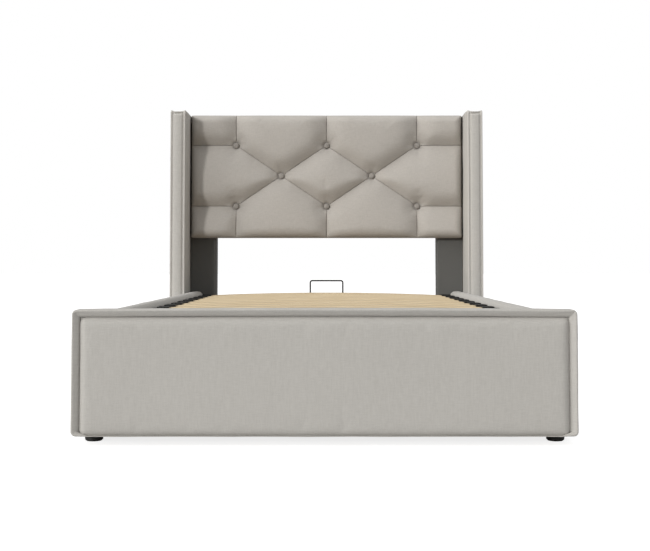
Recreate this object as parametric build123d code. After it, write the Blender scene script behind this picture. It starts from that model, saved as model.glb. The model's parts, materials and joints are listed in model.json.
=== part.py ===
from build123d import *
import math
import os

# An upholstered storage bed: wingback headboard with a tufted panel, padded rails and footboard,
# and a slatted platform that lifts at the foot end on two gas struts over a storage box.
# Millimetres. +Z up, the footboard faces -Y, the headboard is at +Y, the origin lies on the floor
# under the middle of the bed.

# Mattress that the bed is made for
mattress_width = 990
mattress_length = 1905

# Footboard
foot_clearance = 20
footboard_over_rail = 18
footboard_thickness = 50
footboard_border = 17
footboard_top_rise = 2.5
footboard_corner = 13
footboard_front_roll = 8
footboard_back_roll = 10
footboard_pad_corner = 5
footboard_core_thickness = 28
footboard_back_wall = 6
pad_side_gap = 0.4

# Side rails
rail_thickness = 50
rail_height = 256
rail_core_thickness = 18
rail_top_padding = 14
rail_outer_roll = 22
rail_inner_roll = 16
rail_end_roll = 18
rail_end_padding = 20

# Headboard
head_gap = 6
headboard_top = 982
panel_bottom = 494
panel_side_gap = 4.5
panel_crown = 24
panel_foam = 18
panel_board_thickness = 12
panel_corner = 6
lining_thickness = 3
closing_rail_height = 26
post_width = 103
post_depth = 77
post_edge = 4

# Tufting of the headboard panel: buttons stand at every second step of the grid
tuft_column_steps = 6
tuft_row_steps = 4
seam_width = 3
seam_depth = 4
button_radius = 12.5
button_height = 9
button_rim = 2.5
button_clearance = 1
dimple_spread = 20

# Wings
wing_thickness = 53.5
wing_inner_gap = 3.5
wing_reach = 156
wing_core_thickness = 24
wing_padding = 16
wing_roll = 12
wing_top_drop = 2
welt_radius = 3.2
welt_seat = 0.3
welt_bend = 9

# Storage box
batten_width = 30
batten_height = 20
batten_lift = 4
floor_thickness = 6
floor_gap = 0.3
cross_bar_width = 40
head_board_thickness = 16
head_board_height = 180
ledge_width = 30
ledge_height = 25
ledge_end_gap = 60
rest_pad_radius = 10
rest_pad_height = 5
rest_pad_spacing = 320

# Feet
foot_radius = 21
foot_tip_radius = 19.5
foot_edge = 3
foot_setback = 80
foot_inset = 35

# Corner brackets and their bolts
bracket_leg = 40
bracket_sheet = 3
bracket_height = 120
bracket_lift = 10
bolt_radius = 4
bolt_head_radius = 7.5
bolt_head_sides = 6
bolt_head_height = 4
bolt_clearance = 0.1
bolt_spacing = 70

# Lifting platform: steel tubes, crowned slats in end caps
platform_side_gap = 10
platform_foot_gap = 10
platform_top = 246
tube_width = 30
tube_height = 25
tube_wall = 2
tube_corner = 3
strut_space = 22
slat_count = 14
slat_width = 60
slat_thickness = 10
slat_crown = 11
slat_edge = 2
slat_end_margin = 15
cap_floor = 5
cap_wall = 3
cap_clearance = 0.5
cap_grip = 20
cap_flare = 8
cap_round = 14
stop_width = 129
stop_height = 73
stop_wire_radius = 3
stop_bend = 8
stop_root = 5

# Lift mechanism, with places measured from the lift pivot
pivot_drop = 16
pivot_setback = 35
pivot_radius = 6
pivot_head_radius = 9
pivot_head_height = 4.5
pivot_clearance = 0.06
boss_radius = 10
plate_thickness = 4
plate_round = 26
plate_tail = 42
lug_thickness = 4
lug_round = 14
side_play = 0.4
strut_foot_reach = 50
strut_foot_drop = 110
strut_head_reach = 440
strut_head_drop = 15
strut_stud_radius = 5
strut_collar_radius = 9
strut_cap_height = 2.5
eye_radius = 12
neck_radius = 4.5
neck_grip = 4
eye_thickness = 10
open_stud_radius = 4
open_eye_play = 3.5
open_eye_wall = 4
eye_advance = 0.39
eye_lift_degrees = 0.39
cylinder_radius = 10
cylinder_wall = 1.5
cylinder_start = 24
cylinder_length = 306
cylinder_guide = 8
rod_radius = 4
rod_clearance = 0.06
rod_inner_end = 150
piston_length = 8
piston_clearance = 0.2

# Crowns of the padded pieces: outlines on each, and how far in the top of the crown begins
crown_levels = 4
pad_crown_inset = 60
tuft_crown_share = 0.62
tuft_corner_share = 0.05
tuft_corner_growth_share = 0.25

# Places worked out from the sizes above
box_half = mattress_width / 2
rail_outer = box_half + rail_thickness
inner_length = mattress_length + head_gap
bed_length = footboard_thickness + inner_length + panel_crown + panel_foam + panel_board_thickness
bed_length += post_depth + lining_thickness
y_foot = -bed_length / 2
y_box = y_foot + footboard_thickness
y_back = bed_length / 2
y_lining = y_back - lining_thickness
y_post = y_lining - post_depth
y_panel_board = y_post - panel_board_thickness
y_seam = y_panel_board - panel_foam
wing_inner = rail_outer + wing_inner_gap
wing_outer = wing_inner + wing_thickness
y_wing = y_seam - wing_reach
rail_top = foot_clearance + rail_height
footboard_height = rail_height + footboard_over_rail
footboard_top = foot_clearance + footboard_height
batten_top = foot_clearance + batten_lift + batten_height
floor_top = batten_top + floor_thickness
y_head_board = y_post - head_board_thickness
panel_half = rail_outer - panel_side_gap + wing_inner_gap
post_outer = wing_inner - floor_gap
post_inner = post_outer - post_width
tube_bottom = platform_top - tube_height
tube_outer = box_half - plate_thickness - strut_space - lug_thickness - side_play * 2
tube_inner = tube_outer - tube_width
platform_foot = y_box + platform_foot_gap
platform_head = y_seam - panel_crown - side_play
pivot_y = platform_head - pivot_setback
pivot_z = tube_bottom - pivot_drop
lug_outer = tube_outer
strut_x = (box_half - plate_thickness + lug_outer) / 2
cap_outer = box_half - platform_side_gap
cap_inner = tube_inner + slat_end_margin
slat_half = cap_inner + cap_grip
slat_bottom = platform_top + cap_floor + cap_clearance
slat_pitch = (platform_head - platform_foot - slat_width - 2 * slat_end_margin) / (slat_count - 1)


def write(name, shape):
    """Write one sub-part to its own file."""
    export_step(shape, os.path.join("parts", name + ".step"))


def block(x0, x1, y0, y1, z0, z1):
    """A box between its limits."""
    corner = Pos((x0 + x1) / 2, (y0 + y1) / 2, (z0 + z1) / 2)
    return corner * Box(x1 - x0, y1 - y0, z1 - z0)


def left(shape):
    """The mirror image of a right-hand piece."""
    return mirror(shape, about=Plane.YZ)


def rod_x(x0, x1, y, z, radius):
    """A round bar along X."""
    length = x1 - x0
    return Pos((x0 + x1) / 2, y, z) * Rot(0, 90, 0) * Cylinder(radius, length)


def front_plane(y):
    """The upright plane at y that faces the foot of the bed, with x to the right and z up."""
    return Plane(origin=(0, y, 0), x_dir=(1, 0, 0), z_dir=(0, -1, 0))


def group(solids):
    """Separate solids that share one node."""
    return Compound(children=list(solids))


def crown_steps():
    """Inset and height of each outline of a crown, as shares, along a quarter of an ellipse."""
    turns = [math.radians(90 * level / crown_levels) for level in range(crown_levels + 1)]
    return [(1 - math.cos(turn), math.sin(turn)) for turn in turns]


def crowned_pad(outlines, y_base, height):
    """Loft a cushion forward from y_base through one outline for each step of its crown."""
    sections = []
    for outline, (_, height_share) in zip(outlines, crown_steps()):
        sections.append(front_plane(y_base - height * height_share) * outline)
    return loft(sections, ruled=True)


# Footboard


def footboard_outline():
    """The footboard seen from the front: a low arch on top and rounded lower corners."""
    half = rail_outer
    edge = footboard_top - footboard_top_rise
    with BuildSketch() as sketch:
        with BuildLine():
            Line((-half, edge), (-half, foot_clearance))
            Line((-half, foot_clearance), (half, foot_clearance))
            Line((half, foot_clearance), (half, edge))
            ThreePointArc((half, edge), (0, footboard_top), (-half, edge))
        make_face()
        fillet(sketch.vertices().group_by(Axis.Y)[0], footboard_corner)
    return sketch.sketch


def footboard_pocket(y0, y1, gap):
    """The space inside the border, open at the bottom, which the board and the pad fill."""
    half = rail_outer - footboard_border - gap
    top = footboard_top - footboard_top_rise - footboard_border - gap
    return block(-half, half, y0, y1, foot_clearance, top)


def footboard_cover():
    """The padded border that wraps the edges and the back of the board."""
    body = extrude(front_plane(y_box) * footboard_outline(), footboard_thickness)
    body = fillet(body.faces().sort_by(Axis.Y)[-1].edges(), footboard_back_roll)
    body = fillet(body.faces().sort_by(Axis.Y)[0].edges(), footboard_front_roll)
    pocket = footboard_pocket(y_foot - footboard_thickness, y_box - footboard_back_wall, 0)
    return body - pocket


def footboard_core():
    """The board inside the footboard."""
    y1 = y_box - footboard_back_wall
    return footboard_pocket(y1 - footboard_core_thickness, y1, 0)


def footboard_pad():
    """The crowned front pad, drawn in at its seam."""
    base = y_box - footboard_back_wall - footboard_core_thickness
    half = rail_outer - footboard_border - pad_side_gap
    top = footboard_top - footboard_top_rise - footboard_border - pad_side_gap
    middle = (foot_clearance + top) / 2
    outlines = []
    for inset_share, _ in crown_steps():
        inset = pad_crown_inset * inset_share
        corner = footboard_pad_corner + inset / 2
        outline = RectangleRounded(2 * (half - inset), top - foot_clearance - 2 * inset, corner)
        outlines.append(Pos(0, middle) * outline)
    return crowned_pad(outlines, base, base - y_foot)


# Side rails


def rail_core():
    """The board inside the right-hand side rail."""
    middle = box_half + rail_thickness / 2
    x0 = middle - rail_core_thickness / 2
    return block(x0, x0 + rail_core_thickness, y_box, y_post - rail_end_padding,
                 foot_clearance, rail_top - rail_top_padding)


def rail_cover():
    """The padded cover over the right-hand rail, with a rolled top and a rounded head end."""
    middle = Pos(box_half + rail_thickness / 2, foot_clearance + rail_height / 2)
    profile = middle * Rectangle(rail_thickness, rail_height)
    outer_top = profile.vertices().sort_by(Axis.X).group_by(Axis.X)[-1].sort_by(Axis.Y)[-1]
    profile = fillet(outer_top, rail_outer_roll)
    inner_top = profile.vertices().sort_by(Axis.X).group_by(Axis.X)[0].sort_by(Axis.Y)[-1]
    profile = fillet(inner_top, rail_inner_roll)
    body = extrude(front_plane(y_post) * profile, y_post - y_box)
    rim = body.faces().sort_by(Axis.Y)[-1].edges().sort_by(Axis.Z)[1:]
    return fillet(rim, rail_end_roll) - rail_core()


# Storage box


def floor_batten():
    """The right-hand batten under the storage floor."""
    z0 = foot_clearance + batten_lift
    return block(box_half - batten_width, box_half, y_box, y_head_board, z0, batten_top)


def floor_cross_bar():
    """The bar under the joint of the two floor panels."""
    half = box_half - batten_width
    z0 = foot_clearance + batten_lift
    return block(-half, half, -cross_bar_width / 2, cross_bar_width / 2, z0, batten_top)


def floor_panel(y0, y1):
    """One half of the storage floor."""
    half = box_half - floor_gap
    return block(-half, half, y0, y1, batten_top, floor_top)


def head_end_board():
    """The board that closes the storage box at the head."""
    z1 = foot_clearance + head_board_height
    return block(-box_half, box_half, y_head_board, y_post, foot_clearance, z1)


def foot_ledge():
    """The batten inside the footboard that carries the rest pads."""
    half = box_half - ledge_end_gap
    z1 = tube_bottom - rest_pad_height
    return block(-half, half, y_box, y_box + ledge_width, z1 - ledge_height, z1)


def rest_pads():
    """The rubber pads that the platform comes down on."""
    y = platform_foot + tube_height / 2
    z = tube_bottom - rest_pad_height / 2
    pads = []
    for step in (-1, 0, 1):
        pads.append(Pos(step * rest_pad_spacing, y, z) * Cylinder(rest_pad_radius, rest_pad_height))
    return group(pads)


def bed_foot(x, y, top):
    """One round tapered foot from the floor up to top."""
    with BuildSketch(Plane.XZ) as sketch:
        with BuildLine():
            Polyline((0, 0), (foot_tip_radius, 0), (foot_radius, top), (0, top), close=True)
        make_face()
        chamfer(sketch.vertices().sort_by(Axis.Y)[:2].sort_by(Axis.X)[-1], foot_edge)
    return Pos(x, y, 0) * revolve(sketch.sketch, Axis.Z)


def bed_feet():
    """Two feet under the rails at the front, two under the posts and one under the cross bar."""
    x = rail_outer - foot_inset
    post_middle = (post_inner + post_outer) / 2
    y_rear = y_post + post_depth / 2
    spots = [(x, y_foot + foot_setback, foot_clearance), (-x, y_foot + foot_setback, foot_clearance),
             (post_middle, y_rear, foot_clearance), (-post_middle, y_rear, foot_clearance),
             (0, 0, foot_clearance + batten_lift)]
    return group(bed_foot(*spot) for spot in spots)


# Headboard


def headboard_post():
    """The right-hand post, which shows in the gap under the panel."""
    top = headboard_top - wing_top_drop - closing_rail_height
    body = block(post_inner, post_outer, y_post, y_lining, foot_clearance, top)
    return fillet(body.edges().filter_by(Axis.Z), post_edge)


def headboard_top_rail():
    """The board that closes the top of the headboard."""
    z1 = headboard_top - wing_top_drop
    return block(-panel_half, panel_half, y_post, y_lining, z1 - closing_rail_height, z1)


def headboard_lower_rail():
    """The rail between the posts at the bottom of the panel."""
    half = post_inner
    return block(-half, half, y_post, y_lining, panel_bottom, panel_bottom + closing_rail_height)


def headboard_panel_board():
    """The board that the tufted pad is mounted on."""
    return block(-panel_half, panel_half, y_panel_board, y_post, panel_bottom, headboard_top)


def headboard_lining():
    """The dark lining over the back of the headboard."""
    top = headboard_top - wing_top_drop
    return block(-panel_half, panel_half, y_lining, y_back, panel_bottom, top)


def panel_point(column, row):
    """A point of the panel from its steps across and up the grid of pleats."""
    x = panel_half * (2 * column / tuft_column_steps - 1)
    return (x, panel_bottom + (headboard_top - panel_bottom) * row / tuft_row_steps)


def tuft_points():
    """The button places: three, two and three in rows."""
    rows = (1, tuft_row_steps - 1)
    outer = [panel_point(column, row) for row in rows for column in range(1, tuft_column_steps, 2)]
    middle = tuft_row_steps / 2
    return outer + [panel_point(column, middle) for column in range(2, tuft_column_steps, 2)]


def tuft_cells():
    """The outlines between the pleats: corners, pentagons and the middle diamond."""
    last, top, middle = tuft_column_steps, tuft_row_steps, tuft_row_steps / 2
    cells = []
    for edge, row in ((0, 1), (top, top - 1)):
        for side, column in ((0, 1), (last, last - 1)):
            cells.append([(side, edge), (column, edge), (column, row), (side, row)])
        for column in range(2, last, 2):
            cells.append([(column - 1, edge), (column + 1, edge), (column + 1, row),
                          (column, middle), (column - 1, row)])
    for side, turn in ((0, 1), (last, -1)):
        cells.append([(side, 1), (side + turn, 1), (side + 2 * turn, middle),
                      (side + turn, top - 1), (side, top - 1)])
    for column in range(2, last - 2, 2):
        cells.append([(column, middle), (column + 1, 1), (column + 2, middle), (column + 1, top - 1)])
    return [[panel_point(column, row) for column, row in cell] for cell in cells]


def inset_polygon(points, inset):
    """A convex outline moved inwards by inset on every side."""
    centre = (sum(x for x, _ in points) / len(points), sum(z for _, z in points) / len(points))
    lines = []
    for (x0, z0), (x1, z1) in zip(points, points[1:] + points[:1]):
        length = math.hypot(x1 - x0, z1 - z0)
        normal = ((z0 - z1) / length, (x1 - x0) / length)
        offset = normal[0] * x0 + normal[1] * z0
        side = 1 if normal[0] * centre[0] + normal[1] * centre[1] > offset else -1
        lines.append((normal[0] * side, normal[1] * side, offset * side + inset))
    corners = []
    for (a, b, c), (d, e, f) in zip(lines[-1:] + lines[:-1], lines):
        scale = a * e - b * d
        corners.append(((c * e - b * f) / scale, (a * f - c * d) / scale))
    return corners


def cell_reach(points):
    """The distance from the middle of a cell to its nearest side."""
    x = sum(px for px, _ in points) / len(points)
    z = sum(pz for _, pz in points) / len(points)
    gaps = []
    for (x0, z0), (x1, z1) in zip(points, points[1:] + points[:1]):
        length = math.hypot(x1 - x0, z1 - z0)
        gaps.append(abs((x1 - x0) * (z - z0) - (z1 - z0) * (x - x0)) / length)
    return min(gaps)


def tuft_pillow(points):
    """One stuffed cell between the pleats."""
    reach = cell_reach(points)
    outlines = []
    for inset_share, height_share in crown_steps():
        inset_share *= tuft_crown_share
        corner_share = tuft_corner_share + tuft_corner_growth_share * height_share
        outline = Polygon(*inset_polygon(points, seam_width / 2 + reach * inset_share), align=None)
        outlines.append(fillet(outline.vertices(), reach * (1 - inset_share) * corner_share))
    return crowned_pad(outlines, y_seam + seam_depth, panel_crown + seam_depth)


def headboard_tufted_pad():
    """The tufted pad: foam with eleven stuffed cells, drawn in round each button."""
    pad = block(-panel_half, panel_half, y_seam, y_panel_board, panel_bottom, headboard_top)
    front = pad.faces().sort_by(Axis.Y)[0]
    pad = fillet(front.edges(), panel_corner)
    for cell in tuft_cells():
        pad += tuft_pillow(cell)
    reach = panel_crown + seam_depth
    for x, z in tuft_points():
        radius = button_radius + button_clearance
        cone = Cone(radius + dimple_spread, radius, reach, align=(Align.CENTER, Align.CENTER, Align.MAX))
        pad -= Pos(x, y_seam, z) * Rot(90, 0, 0) * Rot(180, 0, 0) * cone
    return pad


def tuft_button(x, z):
    """One covered button, domed, seated on the foam at a crossing of the pleats."""
    dome = button_height - button_rim
    arc_radius = (button_radius ** 2 + dome ** 2) / (2 * dome)
    with BuildSketch() as sketch:
        with BuildLine():
            Polyline((0, -button_height), (0, 0), (button_radius, 0), (button_radius, -button_rim))
            span = math.degrees(math.asin(button_radius / arc_radius))
            CenterArc((0, arc_radius - button_height), arc_radius, -90, span)
        make_face()
    return Pos(x, y_seam, z) * revolve(sketch.sketch, Axis.Y)


def tuft_buttons():
    """All the buttons of the panel."""
    return group(tuft_button(x, z) for x, z in tuft_points())


# Wings


def wing_core():
    """The board inside the right-hand wing."""
    middle = (wing_inner + wing_outer) / 2
    x0 = middle - wing_core_thickness / 2
    return block(x0, x0 + wing_core_thickness, y_wing + wing_padding, y_back - wing_padding,
                 foot_clearance, headboard_top - wing_top_drop - wing_padding)


def wing_cover():
    """The padded cover of the right-hand wing, with rolled edges under its welts."""
    top = headboard_top - wing_top_drop
    body = block(wing_inner, wing_outer, y_wing, y_back, foot_clearance, top)
    edges = body.edges().filter_by(Axis.Z).group_by(Axis.Y)[0]
    edges += body.faces().sort_by(Axis.Z)[-1].edges()
    return fillet(edges, wing_roll) - wing_core()


def wing_welt(x):
    """One piping along the front edge and the top of a wing, at x on the rolled edge."""
    top = headboard_top - wing_top_drop
    inset = welt_inset()
    points = [(x, y_wing + inset, foot_clearance), (x, y_wing + inset, top - inset),
              (x, y_back - wing_roll, top - inset)]
    path = FilletPolyline(*points, radius=welt_bend)
    start = Plane(origin=points[0], x_dir=(1, 0, 0), z_dir=(0, 0, 1))
    return sweep(start * Circle(welt_radius), path=path)


def welt_inset():
    """How far a welt's middle lies inside the faces that meet at a rolled edge."""
    return wing_roll - (wing_roll + welt_radius + welt_seat) * math.sqrt(0.5)


def wing_welts():
    """The four welts, two on each wing."""
    inset = welt_inset()
    pair = [wing_welt(wing_inner + inset), wing_welt(wing_outer - inset)]
    return group(pair + [left(welt) for welt in pair])


# Corner brackets


def corner_bracket(y_wall, turn):
    """An angle bracket in the right-hand corner of the box at y_wall; turn points into the box."""
    z0 = floor_top + bracket_lift
    z1 = z0 + bracket_height
    y1 = y_wall + turn * bracket_leg
    y2 = y_wall + turn * bracket_sheet
    low, high = sorted((y_wall, y1))
    side = block(box_half - bracket_sheet, box_half, low, high, z0, z1)
    low, high = sorted((y_wall, y2))
    end = block(box_half - bracket_leg, box_half, low, high, z0, z1)
    body = side + end
    for z in bolt_heights():
        hole = bolt_radius + bolt_clearance
        body -= rod_x(box_half - 2 * bracket_sheet, box_half + bracket_sheet, bolt_y(y_wall, turn), z, hole)
        body -= Pos(box_half - bracket_leg / 2, y_wall, z) * Rot(90, 0, 0) * Cylinder(hole, 4 * bracket_sheet)
    return body


def bolt_y(y_wall, turn):
    """Where the bolts through the side leg of a bracket stand."""
    return y_wall + turn * bracket_leg / 2


def bolt_heights():
    """The heights of the two bolts in each leg."""
    middle = floor_top + bracket_lift + bracket_height / 2
    return (middle - bolt_spacing / 2, middle + bolt_spacing / 2)


def bracket_bolt():
    """One hexagon bolt along Z, with its head seated at z = 0 and its shank below."""
    head = extrude(RegularPolygon(bolt_head_radius, bolt_head_sides), bolt_head_height)
    shank = Pos(0, 0, -bracket_sheet / 2) * Cylinder(bolt_radius, bracket_sheet)
    return head + shank


def corner_spots():
    """The two walls that carry brackets, with the direction into the box."""
    return ((y_box, 1), (y_head_board, -1))


def corner_brackets():
    """The four angle brackets inside the storage box."""
    pair = [corner_bracket(y, turn) for y, turn in corner_spots()]
    return group(pair + [left(bracket) for bracket in pair])


def bracket_bolts():
    """The bolts that hold the four brackets."""
    bolts = []
    for y, turn in corner_spots():
        for z in bolt_heights():
            side = Pos(box_half - bracket_sheet, bolt_y(y, turn), z) * Rot(0, -90, 0) * bracket_bolt()
            face = Rot(-90 * turn, 0, 0) * bracket_bolt()
            end = Pos(box_half - bracket_leg / 2, y + turn * bracket_sheet, z) * face
            bolts += [side, end]
    return group(bolts + [left(bolt) for bolt in bolts])


# Lifting platform


def square_tube(length):
    """A steel tube along Y from y = 0, outer width and height as named, open at both ends."""
    plane = Plane(origin=(0, 0, 0), x_dir=(-1, 0, 0), z_dir=(0, 1, 0))
    ring = RectangleRounded(tube_width, tube_height, tube_corner)
    ring -= Rectangle(tube_width - 2 * tube_wall, tube_height - 2 * tube_wall)
    return extrude(plane * ring, length)


def lug(y, z, hole):
    """A lug welded under the right-hand tube, with a round tip at y, z and a hole in it."""
    tip = Pos(0, y, z) * Rot(0, 90, 0) * Cylinder(lug_round, lug_thickness)
    web = block(-lug_thickness / 2, lug_thickness / 2, y - lug_round, y + lug_round, z, tube_bottom)
    body = tip + web
    if hole:
        body -= Pos(0, y, z) * Rot(0, 90, 0) * Cylinder(hole, 2 * lug_thickness)
    return Pos(lug_outer - lug_thickness / 2, 0, 0) * body


def strut_head():
    """The place of the strut's upper stud at rest."""
    return pivot_y - strut_head_reach, pivot_z - strut_head_drop


def strut_foot():
    """The place of the strut's lower stud."""
    return pivot_y - strut_foot_reach, pivot_z - strut_foot_drop


def platform_side_tube():
    """The right-hand side tube with the lug of the lift pivot and the stud of the strut."""
    y0 = platform_foot + tube_width
    y1 = platform_head - tube_width
    middle = (tube_inner + tube_outer) / 2
    tube = Pos(middle, y0, platform_top - tube_height / 2) * square_tube(y1 - y0)
    y, z = strut_head()
    eye_edge = strut_x - eye_thickness / 2 - side_play
    stud = rod_x(lug_outer, strut_x + eye_thickness / 2 + side_play, y, z, open_stud_radius)
    stud += rod_x(lug_outer, eye_edge, y, z, strut_collar_radius)
    far = strut_x + eye_thickness / 2 + side_play
    stud += rod_x(far, far + strut_cap_height, y, z, strut_collar_radius)
    return tube + lug(pivot_y, pivot_z, pivot_radius + pivot_clearance) + lug(y, z, 0) + stud


def platform_cross_tube(y0, half):
    """A tube across the platform from -half to half, starting at y0."""
    tube = Rot(0, 0, -90) * square_tube(2 * half)
    return Pos(-half, y0 + tube_width / 2, platform_top - tube_height / 2) * tube


def slat_places():
    """The near edge of each slat, from the foot to the head."""
    first = platform_foot + slat_end_margin
    return [first + index * slat_pitch for index in range(slat_count)]


def slat(y0):
    """One slat, bent upwards in the middle, with softened edges."""
    end = slat_bottom
    with BuildSketch(front_plane(y0)) as sketch:
        with BuildLine():
            ThreePointArc((-slat_half, end), (0, end + slat_crown), (slat_half, end))
            Line((slat_half, end), (slat_half, end + slat_thickness))
            top = end + slat_thickness
            ThreePointArc((slat_half, top), (0, top + slat_crown), (-slat_half, top))
            Line((-slat_half, top), (-slat_half, end))
        make_face()
    body = extrude(sketch.sketch, -slat_width)
    long_edges = [e for e in body.edges() if e.length > slat_half]
    return chamfer(long_edges, slat_edge)


def slat_cap(y0):
    """The right-hand end cap of one slat: a flared holder with a rounded outer end."""
    y_middle = y0 + slat_width / 2
    half = slat_width / 2 + cap_flare
    height = cap_floor + 2 * cap_clearance + slat_thickness + cap_wall
    outline = Pos((cap_inner + cap_outer) / 2, 0) * Rectangle(cap_outer - cap_inner, 2 * half)
    outer = outline.vertices().group_by(Axis.X)[-1]
    outline = fillet(outer, cap_round)
    body = Pos(0, y_middle, platform_top) * extrude(outline, height)
    socket = block(cap_inner - cap_wall, slat_half + cap_clearance,
                   y0 - cap_clearance, y0 + slat_width + cap_clearance,
                   slat_bottom - cap_clearance, slat_bottom + slat_thickness + socket_rise())
    return body - socket


def socket_rise():
    """Head room in a cap for the slat's slope over the length that it is held."""
    return cap_clearance + slat_crown * (1 - ((slat_half - cap_grip) / slat_half) ** 2)


def slat_caps():
    """The right-hand row of end caps."""
    return group(slat_cap(y0) for y0 in slat_places())


def mattress_stop():
    """The bent wire that keeps the mattress on the platform when it is lifted."""
    y = platform_head + stop_wire_radius
    half = stop_width / 2
    z0 = tube_bottom + stop_root
    z1 = platform_top + stop_height
    points = [(-half, y, z0), (-half, y, z1), (half, y, z1), (half, y, z0)]
    path = FilletPolyline(*points, radius=stop_bend)
    start = Plane(origin=points[0], x_dir=(1, 0, 0), z_dir=(0, 0, 1))
    return sweep(start * Circle(stop_wire_radius), path=path)


# Lift mechanism


def lift_bracket():
    """The right-hand plate on the rail that carries the lift pivot and the strut's lower stud."""
    foot_y, foot_z = strut_foot()
    spots = [(pivot_y, pivot_z), (foot_y, foot_z), (foot_y + plate_tail, foot_z)]
    with BuildSketch(Plane(origin=(box_half, 0, 0), x_dir=(0, 1, 0), z_dir=(1, 0, 0))) as sketch:
        with Locations(*spots):
            Circle(plate_round)
        make_hull()
    body = extrude(sketch.sketch, -plate_thickness)
    inner = box_half - plate_thickness
    body += rod_x(lug_outer + side_play, inner, pivot_y, pivot_z, boss_radius)
    body -= rod_x(lug_outer, box_half - plate_thickness, pivot_y, pivot_z, pivot_radius)
    eye_out = strut_x + eye_thickness / 2 + side_play
    eye_in = strut_x - eye_thickness / 2 - side_play
    body += rod_x(eye_out, inner, foot_y, foot_z, strut_collar_radius)
    body += rod_x(eye_in, eye_out, foot_y, foot_z, strut_stud_radius)
    body += rod_x(eye_in - strut_cap_height, eye_in, foot_y, foot_z, strut_collar_radius)
    return body


def pivot_bolt():
    """The right-hand bolt that the platform turns on."""
    shoulder = lug_outer - lug_thickness - side_play
    bolt = rod_x(shoulder, box_half - plate_thickness, pivot_y, pivot_z, pivot_radius)
    return bolt + rod_x(shoulder - pivot_head_height, shoulder, pivot_y, pivot_z, pivot_head_radius)


def strut_axis():
    """The plane of the right-hand strut: x along the strut from its lower stud, z along the studs."""
    foot_y, foot_z = strut_foot()
    head_y, head_z = strut_head()
    angle = math.atan2(head_z - foot_z, foot_y - head_y) + math.radians(eye_lift_degrees)
    direction = (0, -math.cos(angle), math.sin(angle))
    return Plane(origin=(strut_x, foot_y, foot_z), x_dir=direction, z_dir=(1, 0, 0))


def strut_length():
    """Distance from the lower stud to the middle of the rod's eye at rest."""
    foot_y, foot_z = strut_foot()
    head_y, head_z = strut_head()
    return math.hypot(head_y - foot_y, head_z - foot_z) + eye_advance


def turned(profile):
    """Turn a profile drawn over the strut's axis into a round body."""
    return revolve(profile, Axis.X)


def profile_between(s0, s1, r0, r1):
    """Half section of a round length of the strut, from radius r0 to r1."""
    centre = Pos((s0 + s1) / 2, (r0 + r1) / 2)
    return centre * Rectangle(s1 - s0, r1 - r0)


def strut_cylinder():
    """The gas cylinder with its lower eye; the rod slides in the guide at its far end."""
    end = cylinder_start + cylinder_length
    bore = cylinder_radius - cylinder_wall
    neck = profile_between(eye_radius - neck_grip, cylinder_start, 0, neck_radius)
    shell = profile_between(cylinder_start, end, 0, cylinder_radius)
    shell -= profile_between(cylinder_start + cylinder_wall, end - cylinder_guide, 0, bore)
    guide_bore = rod_radius + rod_clearance
    shell -= profile_between(end - 2 * cylinder_guide, end + cylinder_guide, 0, guide_bore)
    body = turned(neck) + turned(shell)
    body += Cylinder(eye_radius, eye_thickness)
    body -= Cylinder(strut_stud_radius + pivot_clearance, 2 * eye_thickness)
    return strut_axis() * body


def strut_rod():
    """The rod with its piston and the wide eye that follows the stud on the platform."""
    length = strut_length()
    eye_bore = open_stud_radius + open_eye_play
    eye_outer = eye_bore + open_eye_wall
    piston = cylinder_radius - cylinder_wall - piston_clearance
    body = turned(profile_between(rod_inner_end, length - eye_bore - open_eye_wall / 2, 0, rod_radius))
    body += turned(profile_between(rod_inner_end, rod_inner_end + piston_length, 0, piston))
    body += Pos(length, 0, 0) * Cylinder(eye_outer, eye_thickness)
    body -= Pos(length, 0, 0) * Cylinder(eye_bore, 2 * eye_thickness)
    return strut_axis() * body


def write_pair(name, shape):
    """Write a right-hand piece and its mirror image."""
    write(name + "_right", shape)
    write(name + "_left", left(shape))


def main():
    os.makedirs("parts", exist_ok=True)
    write("footboard_core", footboard_core())
    write("footboard_cover", footboard_cover())
    write("footboard_pad", footboard_pad())
    write_pair("side_rail_core", rail_core())
    write_pair("side_rail_cover", rail_cover())
    write_pair("floor_batten", floor_batten())
    write("floor_cross_bar", floor_cross_bar())
    write("storage_floor_foot", floor_panel(y_box + floor_gap, 0))
    write("storage_floor_head", floor_panel(0, y_head_board - floor_gap))
    write("head_end_board", head_end_board())
    write("foot_ledge", foot_ledge())
    write("rest_pads", rest_pads())
    write("bed_feet", bed_feet())
    write_pair("headboard_post", headboard_post())
    write("headboard_top_rail", headboard_top_rail())
    write("headboard_lower_rail", headboard_lower_rail())
    write("headboard_panel_board", headboard_panel_board())
    write("headboard_lining", headboard_lining())
    write("headboard_tufted_pad", headboard_tufted_pad())
    write("tuft_buttons", tuft_buttons())
    write_pair("wing_core", wing_core())
    write_pair("wing_cover", wing_cover())
    write("wing_welts", wing_welts())
    write("corner_brackets", corner_brackets())
    write("bracket_bolts", bracket_bolts())
    write_pair("platform_side_tube", platform_side_tube())
    write("platform_foot_tube", platform_cross_tube(platform_foot, tube_outer))
    write("platform_head_tube", platform_cross_tube(platform_head - tube_width, tube_outer))
    write("platform_middle_tube", platform_cross_tube(-tube_width / 2, tube_inner))
    for index, y0 in enumerate(slat_places(), 1):
        write(f"slat_{index:02d}", slat(y0))
    write_pair("slat_caps", slat_caps())
    write("mattress_stop", mattress_stop())
    write_pair("lift_bracket", lift_bracket())
    bolt = pivot_bolt()
    write("lift_pivot_bolts", group([bolt, left(bolt)]))
    write_pair("strut_cylinder", strut_cylinder())
    write_pair("strut_rod", strut_rod())


main()
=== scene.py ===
import json
import math
import bmesh
import bpy
from mathutils import Matrix, Vector, noise


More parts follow.
